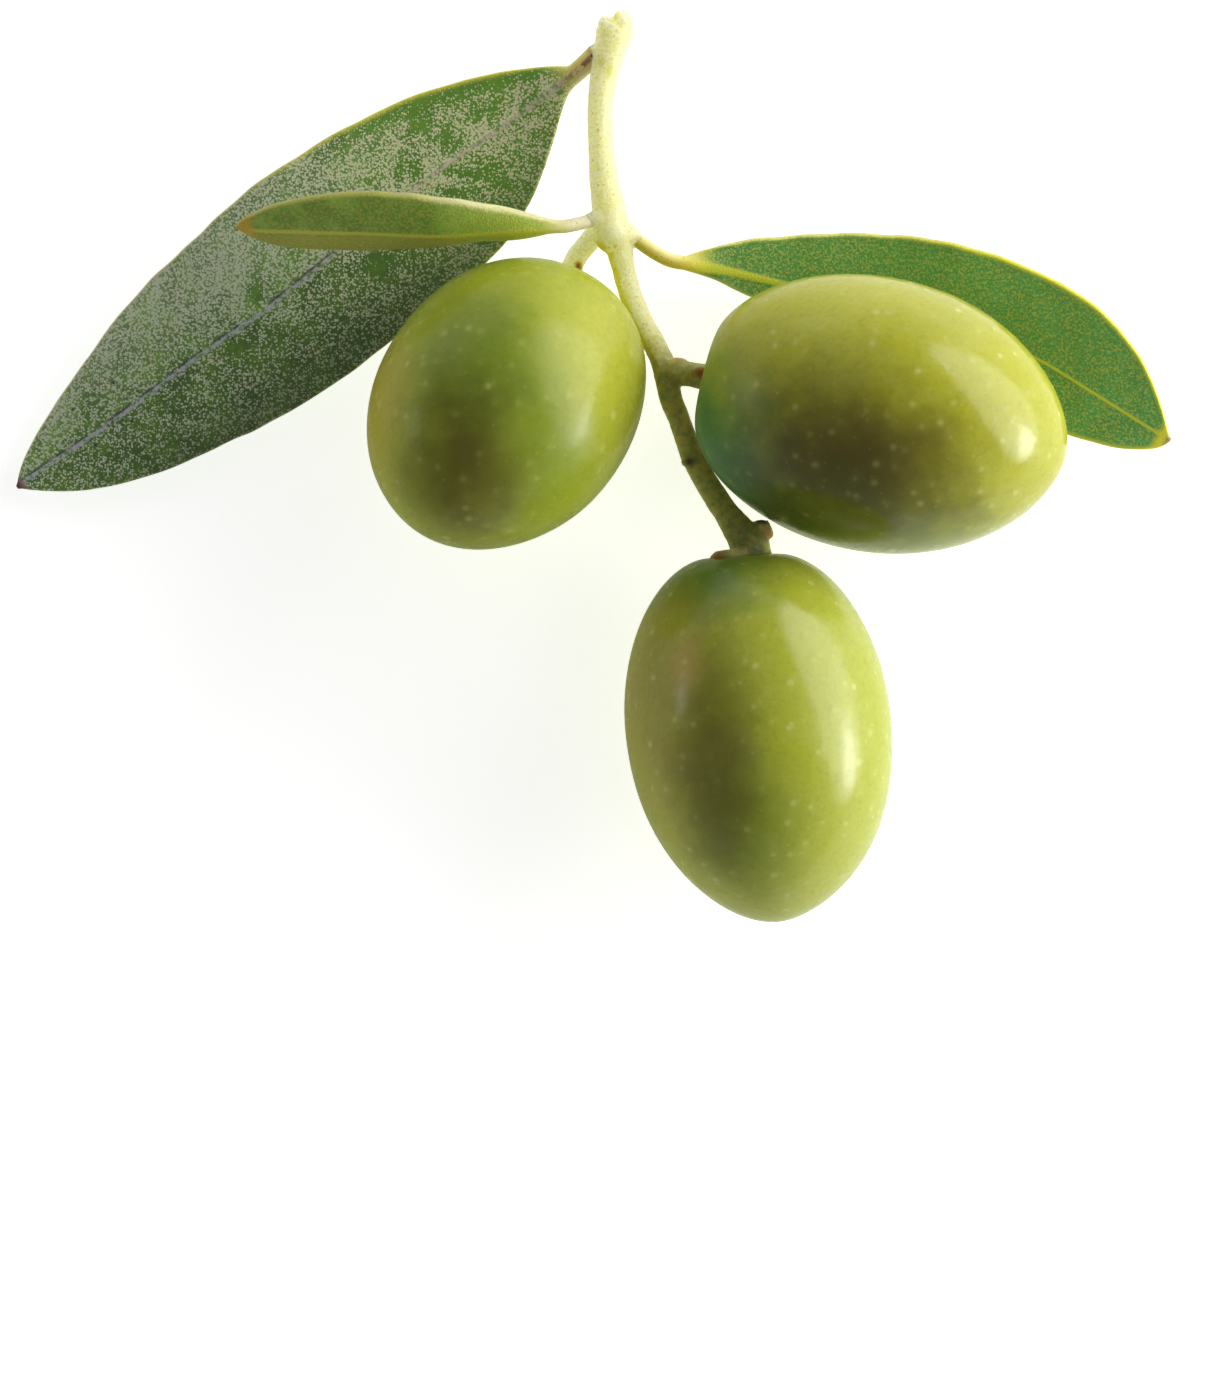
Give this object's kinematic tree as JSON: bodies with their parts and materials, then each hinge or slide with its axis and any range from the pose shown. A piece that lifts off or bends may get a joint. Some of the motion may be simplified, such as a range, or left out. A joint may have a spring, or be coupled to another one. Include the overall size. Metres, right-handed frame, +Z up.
{
  "type": "olive branch with fruit",
  "caption": "Freshly picked olive sprig lying on its fruit: a cut green twig with narrow leathery leaves and plump green olives on short stalks.",
  "frame": {"origin": "on the surface that the sprig lies on, under the middle of its outer box", "axes": "+Z up, +X along the spread of the leaves, +Y towards the cut end of the twig"},
  "size_m": [0.0878, 0.0682, 0.0205],
  "materials": {
    "twig_bark": "smooth pale green-cream bark, matt",
    "olive_skin": "waxy satin-gloss green skin with fine pale dots",
    "leaf_scurfy": "leathery leaf with a silvery scurf, matt",
    "leaf_green": "leathery mid-green leaf, low satin"
  },
  "bodies": {
    "root": {"twig": "twig_bark", "olive_left": "olive_skin", "olive_right": "olive_skin", "olive_lower": "olive_skin", "leaf_large": "leaf_scurfy", "leaf_narrow": "leaf_green", "leaf_right": "leaf_green"}
  },
  "joints": []
}
